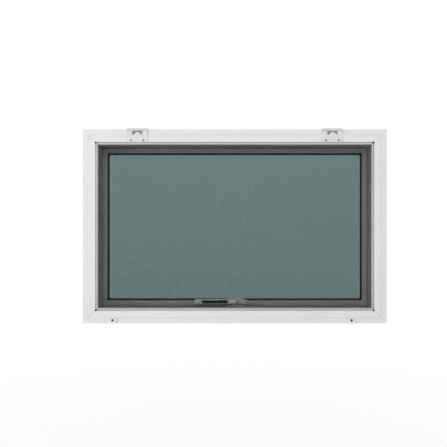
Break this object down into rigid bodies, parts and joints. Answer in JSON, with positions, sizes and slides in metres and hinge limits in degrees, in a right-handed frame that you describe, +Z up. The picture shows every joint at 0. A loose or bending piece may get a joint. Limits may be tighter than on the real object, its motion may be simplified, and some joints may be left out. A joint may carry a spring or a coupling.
{
  "type": "top hung awning window",
  "caption": "White metal top hung awning window with tinted glass, a cam handle and a top hinged insect screen on the room side, held shut by turn buttons.",
  "frame": {"origin": "middle of the sill's underside, halfway through the frame's depth", "axes": "+X to the right seen from the room, +Z up, the room at -Y and the outdoors at +Y"},
  "size_m": [0.8, 0.1073, 0.5144],
  "materials": {
    "frame_paint": "white powder coat, satin",
    "sash_paint": "white powder coat, satin",
    "screen_paint": "white powder coat, satin",
    "glass": "clear glass with a green tint",
    "rubber": "black extruded rubber",
    "handle_paint": "light grey paint, satin",
    "keeper_zinc": "light grey paint",
    "insert_plastic": "black plastic",
    "hinge_paint": "white paint",
    "screw_steel": "plated steel",
    "button_plastic": "white moulded plastic",
    "stay_steel": "brushed stainless steel",
    "mesh": "dark coated fibre mesh"
  },
  "bodies": {
    "window": {"frame_head": "frame_paint", "frame_sill": "frame_paint", "frame_jamb_left": "frame_paint", "frame_jamb_right": "frame_paint", "sash_top_rail": "sash_paint", "sash_bottom_rail": "sash_paint", "sash_stile_left": "sash_paint", "sash_stile_right": "sash_paint", "glazing_bead_top": "sash_paint", "glazing_bead_bottom": "sash_paint", "glazing_bead_left": "sash_paint", "glazing_bead_right": "sash_paint", "glass_pane": "glass", "inner_gasket": "rubber", "outer_gasket": "rubber", "weather_seal": "rubber", "handle_base": "handle_paint", "handle_keeper": "keeper_zinc", "hinge_fixed_leaf_left": "hinge_paint", "hinge_fixed_leaf_right": "hinge_paint", "hinge_pin_left": "screw_steel", "hinge_pin_right": "screw_steel", "button_screw_left": "screw_steel", "button_screw_right": "screw_steel", "friction_stay_left": "stay_steel", "friction_stay_right": "stay_steel"},
    "insect_screen": {"screen_top_rail": "screen_paint", "screen_bottom_rail": "screen_paint", "screen_stile_left": "screen_paint", "screen_stile_right": "screen_paint", "screen_spline": "rubber", "insect_mesh": "mesh", "hinge_moving_leaf_left": "hinge_paint", "hinge_moving_leaf_right": "hinge_paint"},
    "handle_lever": {"handle_lever": "handle_paint", "lever_insert": "insert_plastic"},
    "turn_button_left": {"turn_button_left": "button_plastic"},
    "turn_button_right": {"turn_button_right": "button_plastic"}
  },
  "joints": [
    {"name": "screen_hinge", "type": "hinge", "parent": "window", "child": "insect_screen", "pos_m": [0, -0.0545, 0.5093], "axis": [-1, 0, 0], "range_deg": [0, 90]},
    {"name": "lever_turn", "type": "hinge", "parent": "window", "child": "handle_lever", "pos_m": [0, -0.005, 0.054], "axis": [0, 1, 0], "range_deg": [0, 90]},
    {"name": "button_left_turn", "type": "hinge", "parent": "window", "child": "turn_button_left", "pos_m": [-0.321, -0.053, 0.0082], "axis": [0, 1, 0], "continuous": true},
    {"name": "button_right_turn", "type": "hinge", "parent": "window", "child": "turn_button_right", "pos_m": [0.307, -0.053, 0.0082], "axis": [0, 1, 0], "continuous": true}
  ]
}
